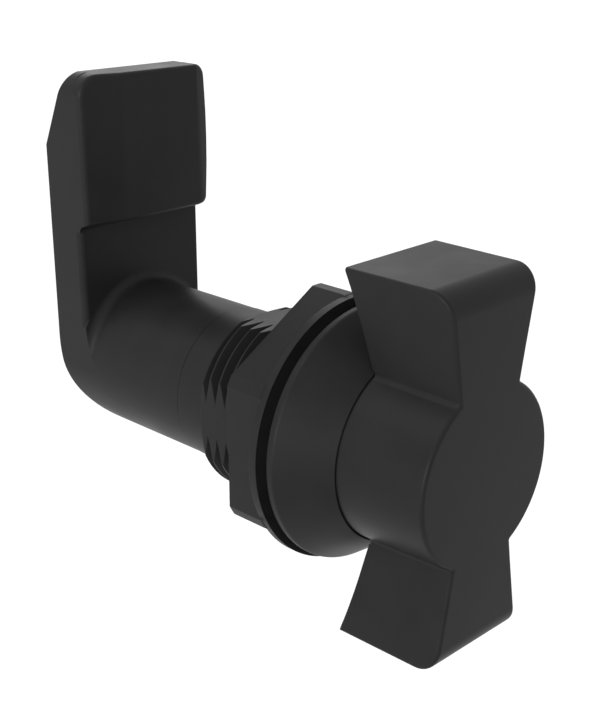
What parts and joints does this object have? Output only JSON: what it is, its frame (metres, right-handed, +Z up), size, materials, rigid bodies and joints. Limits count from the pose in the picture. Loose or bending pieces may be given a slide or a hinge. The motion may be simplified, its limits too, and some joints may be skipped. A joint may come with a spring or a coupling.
{
  "type": "quarter-turn cam latch",
  "caption": "Wing-knob quarter-turn latch: cone-flanged threaded housing with gasket and hex nut, and an L-shaped hooked cam that swings through a right angle.",
  "frame": {"origin": "on the latch axis, in the plane where the gasket's back face bears on the panel's front face", "axes": "+Y along the latch axis from the knob through the panel towards the cam, +Z up towards the cam's tip in the locked position, +X to the right seen from the knob"},
  "size_m": [0.03, 0.0593, 0.056],
  "materials": {
    "knob_plastic": "fine matt moulded black glass-filled nylon",
    "housing_plastic": "matt moulded black glass-filled nylon",
    "cam_plastic": "matt moulded black glass-filled nylon",
    "gasket_rubber": "dull black",
    "seal_rubber": "smooth black",
    "plated_steel": "zinc plated",
    "spring_steel": "oiled dark"
  },
  "bodies": {
    "housing": {"housing": "housing_plastic", "flange_gasket": "gasket_rubber", "thrust_washer": "plated_steel"},
    "nut": {"hex_nut": "housing_plastic"},
    "rotor": {"wing_knob": "knob_plastic", "spindle": "plated_steel", "front_o_ring": "seal_rubber", "rear_o_ring": "seal_rubber", "wave_washer": "spring_steel", "retaining_ring": "spring_steel", "cam": "cam_plastic", "cam_washer": "plated_steel", "lock_washer": "spring_steel", "cam_screw": "plated_steel"}
  },
  "joints": [
    {"name": "quarter_turn", "type": "hinge", "parent": "housing", "child": "rotor", "pos_m": [0, 0, 0], "axis": [0, 1, 0], "range_deg": [0, 90]},
    {"name": "nut_travel", "type": "slide", "parent": "housing", "child": "nut", "axis": [0, 1, 0], "range_m": [0, 0.0075]}
  ]
}
